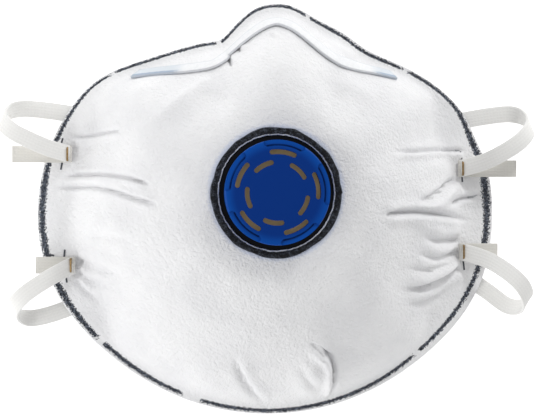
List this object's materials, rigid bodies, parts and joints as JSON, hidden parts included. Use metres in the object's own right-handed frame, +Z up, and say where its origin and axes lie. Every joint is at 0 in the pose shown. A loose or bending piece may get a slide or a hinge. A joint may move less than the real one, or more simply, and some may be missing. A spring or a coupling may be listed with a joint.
{
  "type": "disposable dust mask",
  "caption": "Moulded cup dust mask with a round exhalation valve, a bendable nose clip and stapled elastic head straps.",
  "frame": {"origin": "on the surface that the mask lies on, under the middle of the rim's box", "axes": "+Z up and out through the valve, +Y towards the nose, +X to the right of the mask seen from outside"},
  "size_m": [0.1604, 0.1228, 0.0529],
  "materials": {
    "white_nonwoven": "matte fuzzy needle-punched nonwoven",
    "carbon_felt": "matte dark felt",
    "meltblown": "matte fine melt-blown web",
    "moulded_nonwoven": "stiff moulded nonwoven",
    "soft_nonwoven": "soft matte nonwoven",
    "fused_edge": "dark fused nonwoven with a pressed pattern",
    "clip_metal": "satin, pale lacquer",
    "grey_foam": "matte open-cell foam",
    "fused_ring": "dark mottled fused nonwoven",
    "black_plastic": "semi-gloss moulded",
    "tan_rubber": "matte thin rubber",
    "blue_plastic": "glossy moulded",
    "staple_wire": "bright coppered wire",
    "elastic_band": "smooth matte elastic"
  },
  "bodies": {
    "mask": {"outer_cover": "white_nonwoven", "carbon_layer": "carbon_felt", "filter_layer_outer": "meltblown", "filter_layer_inner": "meltblown", "support_shell": "moulded_nonwoven", "inner_cover": "soft_nonwoven", "welded_edge": "fused_edge", "nose_clip": "clip_metal", "nose_foam": "grey_foam", "valve_weld_ring": "fused_ring", "valve_seat": "black_plastic", "valve_cover": "blue_plastic", "staple_upper_left": "staple_wire", "staple_upper_right": "staple_wire", "staple_lower_left": "staple_wire", "staple_lower_right": "staple_wire", "upper_strap": "elastic_band", "lower_strap": "elastic_band"},
    "diaphragm": {"valve_diaphragm": "tan_rubber"}
  },
  "joints": [
    {"name": "diaphragm_lift", "type": "slide", "parent": "mask", "child": "diaphragm", "axis": [0, 0, 1], "range_m": [0, 0.0015], "stiffness_N_per_m": 30}
  ]
}
